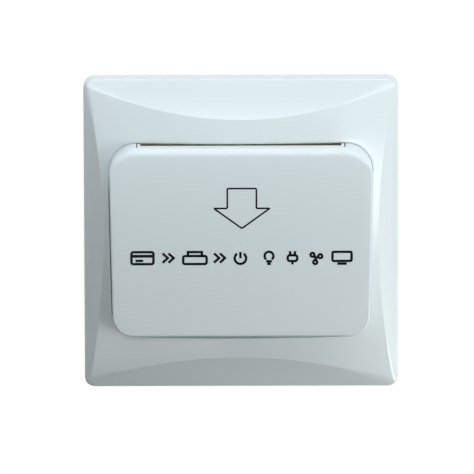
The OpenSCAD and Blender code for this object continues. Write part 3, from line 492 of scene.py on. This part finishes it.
# Pocket cover: the proud front of the pocket, a tray open to the back whose top is cut for the card.
# The same white plastic; two ribs inside keep the card straight and four bosses take its screws.
cover_front = 18.6
cover_back = 7.05
cover_wall = 2.0
slot_front = 14.8
cut_half = 28.5
cut_depth = 4.0
cut_front = 16.6
top_round, edge_round = 2.8, 0.5
cover_drop = 0.3
rib_width = 1.8
rib_half, weld = 24.6, 0.1
cover_boss_at, cover_boss_r, pilot_roof = (32.2, 18.0), 2.1, 0.7
cut_steps, cover_side_steps, edge_rows = 90, 60, 12
face_rings = np.array([0.0, 0.5, 0.9])


def cover_shell():
    """Profile carried round the cover from the middle of its face to the middle of its hollow: face, rounded
    edge, side, back edge, inner side. Along the cut the side is drawn up to the cut's front face, and each end
    of the cut is two stations at one place, so the faces between them close it. The lower half is drawn down a
    little, so the bottom edge hangs over the relief."""
    middle = (cover_top_w + cover_bottom_w) / 4
    lean = np.arctan2((cover_top_w - cover_bottom_w) / 2, cover_h)
    reach = middle - cover_top_corner / np.cos(lean) + (cover_h / 2 - cover_top_corner) * np.tan(lean)
    end = cut_half / reach
    top = np.concatenate([[end], np.linspace(end, -end, cut_steps), [-end]])
    line, way = panel_track(cover_top_w, cover_bottom_w, cover_h, cover_top_corner, cover_bottom_corner,
                            cover_side_steps, top)
    first = 2 * corner_steps + cover_side_steps + 1
    cut = np.zeros(len(line), bool)
    cut[first:first + cut_steps] = True
    up = np.clip(way[:, 1], 0, 1)
    turn_r = edge_round + (top_round - edge_round) * up * up * (3 - 2 * up)
    stop = np.where(cut, np.arccos(1 - (cover_front - cut_front) / top_round), np.pi / 2)
    angle = np.linspace(0, 1, edge_rows)[:, None] * stop
    edge_in = turn_r * (1 - np.sin(angle))
    edge = lift(line - edge_in[..., None] * way, cover_front - turn_r * (1 - np.cos(angle)))
    face = lift(face_rings[:, None, None] * edge[0, :, :2], edge[0, :, 2])
    hollow, deep = line - cover_wall * way, line - cut_depth * way
    full = [lift(line, cover_back), lift(hollow, cover_back), lift(hollow, slot_front), lift(deep, slot_front),
            lift(deep, slot_front)]
    slot = [edge[-1], lift(hollow, cut_front), lift(hollow, cut_front), lift(deep, cut_front),
            lift(deep, slot_front)]
    inside = np.where(cut[None, :, None], np.stack(slot), np.stack(full))
    floor = inside[-1:] * np.array([0.0, 0.0, 1.0])
    shell = np.concatenate([face, edge, inside, floor])
    shell[..., 1] *= np.where(shell[..., 1] < 0, 1 + 2 * cover_drop / cover_h, 1)
    return shell


boss_profile = [(0, slot_front + weld), (cover_boss_r, slot_front + weld), (cover_boss_r, cover_back),
                (pilot_r, cover_back), (pilot_r, slot_front - pilot_roof), (0, slot_front - pilot_roof)]
inside = [post(sx * cover_boss_at[0], sy * cover_boss_at[1], boss_profile) for sx, sy in four_corners]
for sx in (-1, 1):
    near, far = sorted([sx * cut_half, sx * (cut_half + rib_width)])
    inside.append(bar((near, -rib_half, cover_back), (far, rib_half, slot_front + weld)))
card_pocket = skin("card_pocket", [cover_shell(), *inside])
card_pocket.data.materials.append(white)
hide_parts("pocket_cover")
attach(card_pocket, "base")

# Print on the pocket: an outline arrow over a row of plain signs, which tell a guest what the switch does.
# Dark ink, pad printed in a film some hundredths of a millimetre thick, so it rides on the face of the cover.
ink_film = 0.02
ink_soak = 0.01


def stroke(points, width, closed=False):
    """Line of ink: a flat box section carried along the points and mitred at each of them. An open line's ends
    are drawn to one point, and a closed line's last section is its first."""
    line = np.asarray(points, float)
    if closed:
        before, after = line - np.roll(line, 1, axis=0), np.roll(line, -1, axis=0) - line
    else:
        step = np.diff(line, axis=0)
        before, after = np.concatenate([step[:1], step]), np.concatenate([step, step[-1:]])
    before = before / np.linalg.norm(before, axis=1, keepdims=True)
    after = after / np.linalg.norm(after, axis=1, keepdims=True)
    across = (before + after) @ np.array([[0, 1], [-1, 0]])
    across = across / (1 + (before * after).sum(1, keepdims=True)) * width / 2
    low, high = cover_front - ink_soak, cover_front + ink_film
    section = np.stack([lift(line + across, low), lift(line - across, low), lift(line - across, high),
                        lift(line + across, high)], 1)
    if closed:
        return np.concatenate([section, section[:1]])
    return np.concatenate([section[:1].mean(1, keepdims=True) + 0 * section[:1], section,
                           section[-1:].mean(1, keepdims=True) + 0 * section[-1:]])


def arc(x, y, radius, start, stop, steps=24):
    """Points on a circle from one angle to another, in degrees anticlockwise from the right."""
    turn = np.radians(np.linspace(start, stop, steps))
    return np.stack([x + radius * np.cos(turn), y + radius * np.sin(turn)], -1)


def rounded(corners, radius):
    """Closed line through the corners with each rounded by a quadratic curve that starts radius before it."""
    corner = np.asarray(corners, float)
    back, ahead = np.roll(corner, 1, axis=0) - corner, np.roll(corner, -1, axis=0) - corner
    first = corner + radius * back / np.linalg.norm(back, axis=1, keepdims=True)
    last = corner + radius * ahead / np.linalg.norm(ahead, axis=1, keepdims=True)
    t = np.linspace(0, 1, 6)[None, :, None]
    curve = (1 - t) ** 2 * first[:, None] + 2 * t * (1 - t) * corner[:, None] + t ** 2 * last[:, None]
    return curve.reshape(-1, 2)


def panel(x, y, width, height, radius):
    """Closed line of a rounded rectangle about a centre."""
    w, h = width / 2, height / 2
    return rounded([(x - w, y - h), (x + w, y - h), (x + w, y + h), (x - w, y + h)], radius)


arrow_x, arrow_top, arrow_barb, arrow_tip = 0.23, 14.84, 9.34, 3.78
shaft_half, head_half, arrow_line, arrow_round = 3.96, 7.63, 0.46, 0.35
arrow = rounded([(arrow_x - shaft_half, arrow_top), (arrow_x - shaft_half, arrow_barb),
                 (arrow_x - head_half, arrow_barb), (arrow_x, arrow_tip), (arrow_x + head_half, arrow_barb),
                 (arrow_x + shaft_half, arrow_barb), (arrow_x + shaft_half, arrow_top)], arrow_round)
sign_y, sign_h, sign_line = -4.4, 4.0, 0.68
half = sign_h / 2 - sign_line / 2
card_x, slot_x, on_x, lamp_x, plug_x, fan_x, screen_x = -26.9, -12.6, -0.2, 7.6, 14.0, 20.4, 27.5
chevrons = (-20.6, -19.0, -6.6, -5.0)
signs = [stroke(panel(card_x, sign_y, 6.0, 2 * half, 0.6), sign_line, True),
         stroke([(card_x - 2.7, sign_y + 0.55), (card_x + 2.7, sign_y + 0.55)], 0.8),
         stroke([(card_x - 1.9, sign_y - 0.75), (card_x + 0.2, sign_y - 0.75)], sign_line)]
signs += [stroke([(x - 0.8, sign_y + 1.3), (x + 0.6, sign_y), (x - 0.8, sign_y - 1.3)], sign_line)
          for x in chevrons]
signs += [stroke(panel(slot_x, sign_y - 0.55, 6.4, 2 * half - 1.1, 0.6), sign_line, True),
          stroke([(slot_x - 1.9, sign_y + 0.3), (slot_x - 1.9, sign_y + half), (slot_x + 1.9, sign_y + half),
                  (slot_x + 1.9, sign_y + 0.3)], sign_line)]
signs += [stroke(arc(on_x, sign_y - 0.1, half - 0.1, 125, 415, 30), sign_line),
          stroke([(on_x, sign_y + half), (on_x, sign_y - 0.1)], sign_line)]
signs += [stroke(arc(lamp_x, sign_y + 0.5, 1.2, -50, 230), sign_line),
          stroke([(lamp_x - 0.8, sign_y - 0.95), (lamp_x + 0.8, sign_y - 0.95)], sign_line),
          stroke([(lamp_x - 0.5, sign_y - half), (lamp_x + 0.5, sign_y - half)], sign_line)]
signs += [stroke(rounded([(plug_x - 1.3, sign_y - 0.9), (plug_x + 1.3, sign_y - 0.9),
                          (plug_x + 1.3, sign_y + 0.7), (plug_x - 1.3, sign_y + 0.7)], 0.7), sign_line, True),
          stroke([(plug_x, sign_y - 0.9), (plug_x, sign_y - half - 0.2)], sign_line)]
signs += [stroke([(plug_x + side * 0.65, sign_y + 0.7), (plug_x + side * 0.65, sign_y + half + 0.2)], sign_line)
          for side in (-1, 1)]
signs += [stroke(arc(fan_x, sign_y, 0.26, 0, 345), 0.4, True)]
turn = np.linspace(0, 2 * np.pi, 20, endpoint=False)
for start in np.radians([20, 140, 260]):
    reach, angle = 1.15 + 0.62 * np.cos(turn), start + 0.42 * np.sin(turn)
    blade = np.stack([fan_x + reach * np.cos(angle), sign_y + reach * np.sin(angle)], -1)
    signs.append(stroke(blade, sign_line, True))
signs += [stroke(panel(screen_x, sign_y + 0.35, 5.2, 2 * half - 0.8, 0.4), sign_line, True),
          stroke([(screen_x - 1.3, sign_y - half), (screen_x + 1.3, sign_y - half)], sign_line)]
ink = moulded("ink", (0.004, 0.005, 0.006), (0.007, 0.008, 0.009), 0.5, 0.0004, 0.000002, 0.01, 0.15, 1.15)
print_marks = skin("print_marks", [stroke(arrow, arrow_line, True), *signs])
print_marks.data.materials.append(ink)
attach(print_marks, "base")


# Stage: a pale floor far below the plate, a white background, and soft light from above and the right.
# The world is the studio, brighter to the right, above and behind; two strip lamps and four boxes do the rest.
def reckon(tree, operation, first, second):
    """Outcome of an operation on two values, each a node's output or a plain number."""
    node = tree.nodes.new("ShaderNodeMath")
    node.operation = operation
    for socket, value in zip(node.inputs, (first, second)):
        if isinstance(value, float):
            socket.default_value = value
        else:
            tree.links.new(value, socket)
    return node.outputs["Value"]


floor_z, floor_half, floor_glow = -1.6, 2.0, 0.45
floor_mesh = bpy.data.meshes.new("floor")
floor_mesh.from_pydata([(sx * floor_half, sy * floor_half, floor_z) for sx, sy in four_corners], [],
                       [(0, 2, 3, 1)])
floor = bpy.data.objects.new("floor", floor_mesh)
bpy.context.scene.collection.objects.link(floor)
floor_paint, tree, shader = graph("floor_paint")
tree.links.new(blend(tree, noise(tree, 3.0), (0.86, 0.86, 0.85), (0.9, 0.9, 0.89)), shader.inputs["Base Color"])
shader.inputs["Roughness"].default_value = 0.9
shader.inputs["Emission Color"].default_value = (1, 1, 1, 1)
rays = tree.nodes.new("ShaderNodeLightPath")
tree.links.new(reckon(tree, "MULTIPLY", rays.outputs["Is Camera Ray"], floor_glow),
               shader.inputs["Emission Strength"])
floor.data.materials.append(floor_paint)
floor.visible_diffuse = False

studio_level, studio_right, studio_behind, studio_above = 0.02, 0.45, 0.8, 0.38
world = bpy.data.worlds.new("studio")
bpy.context.scene.world = world
world.use_nodes = True
tree = world.node_tree
studio, output = tree.nodes["Background"], tree.nodes["World Output"]
white_sky = tree.nodes.new("ShaderNodeBackground")
white_sky.inputs["Color"].default_value = (1, 1, 1, 1)
rays = tree.nodes.new("ShaderNodeLightPath")
glossy = reckon(tree, "MAXIMUM", rays.outputs["Is Glossy Ray"], rays.outputs["Is Transmission Ray"])
pick = tree.nodes.new("ShaderNodeMixShader")
tree.links.new(reckon(tree, "MAXIMUM", rays.outputs["Is Camera Ray"], glossy), pick.inputs["Fac"])
tree.links.new(studio.outputs["Background"], pick.inputs[1])
tree.links.new(white_sky.outputs["Background"], pick.inputs[2])
tree.links.new(pick.outputs["Shader"], output.inputs["Surface"])
studio.inputs["Color"].default_value = (0.97, 1.0, 1.0, 1.0)
where = tree.nodes.new("ShaderNodeTexCoord")
ahead = tree.nodes.new("ShaderNodeVectorMath")
ahead.operation = "MAXIMUM"
ahead.inputs[1].default_value = (0.0, 0.0, 0.0)
toward = tree.nodes.new("ShaderNodeVectorMath")
toward.operation = "DOT_PRODUCT"
toward.inputs[1].default_value = (studio_right, studio_behind, studio_above)
tree.links.new(where.outputs["Generated"], ahead.inputs[0])
tree.links.new(ahead.outputs["Vector"], toward.inputs[0])
tree.links.new(reckon(tree, "ADD", toward.outputs["Value"], studio_level), studio.inputs["Strength"])

plate_middle = Vector((0.0, -0.0186, 0.0))
cool, warm = (0.97, 1.0, 1.03), (1.05, 0.985, 0.9)
# Each lamp has a tint, a place, a point it is aimed at, a length and a depth in metres, and a power in watts.
lamps = [("strip_over_slot", cool, (0.0, -0.07, 0.085), (0.0, -0.0186, 0.02), 0.5, 0.03, 0.13),
         ("box_above", cool, (0.0, -0.09, 0.6), plate_middle, 0.4, 0.18, 0.6),
         ("box_in_front", cool, (0.3, -0.5, -0.03), plate_middle, 0.3, 0.15, 0.8),
         ("box_low_right", warm, (0.15, -0.07, -0.1), plate_middle, 0.05, 0.08, 0.095),
         ("box_left", warm, (-0.3, -0.05, 0.0), plate_middle, 0.05, 0.1, 0.02),
         ("strip_below", warm, (-0.13, -0.33, -0.225), plate_middle, 0.22, 0.045, 0.09)]
for name, tint, at, to, long, deep, watts in lamps:
    lamp = bpy.data.lights.new(name, "AREA")
    lamp.shape = "RECTANGLE"
    lamp.size, lamp.size_y, lamp.energy = long, deep, watts
    lamp.color = tint
    holder = bpy.data.objects.new(name, lamp)
    aimed = (Vector(to) - Vector(at)).to_track_quat("-Z", "Y").to_matrix().to_4x4()
    holder.matrix_world = Matrix.Translation(at) @ aimed
    holder.visible_camera = False
    bpy.context.scene.collection.objects.link(holder)

# Camera: a long lens 3 m away, 11 degrees above the plate and rolled a little, as the photograph is.
camera_far, camera_up, camera_roll = 3.0, np.radians(11.0), np.radians(0.16)
seen_width, sensor = 0.12953, 36.0
aim = np.array([-0.001112, -0.010, -0.000261])
back = np.array([0.0, -np.cos(camera_up), np.sin(camera_up)])
right, above = np.array([1.0, 0.0, 0.0]), np.array([0.0, np.sin(camera_up), np.cos(camera_up)])
lens = bpy.data.cameras.new("camera")
lens.sensor_width = sensor
lens.lens = sensor * camera_far / seen_width
lens.clip_end = 50.0
camera = bpy.data.objects.new("camera", lens)
turned = np.eye(4)
turned[:3, 0] = right * np.cos(camera_roll) - above * np.sin(camera_roll)
turned[:3, 1] = above * np.cos(camera_roll) + right * np.sin(camera_roll)
turned[:3, 2] = back
turned[:3, 3] = aim + camera_far * back
camera.matrix_world = Matrix(turned.tolist())
bpy.context.scene.collection.objects.link(camera)
bpy.context.scene.camera = camera
bpy.context.scene.view_settings.view_transform = "Standard"
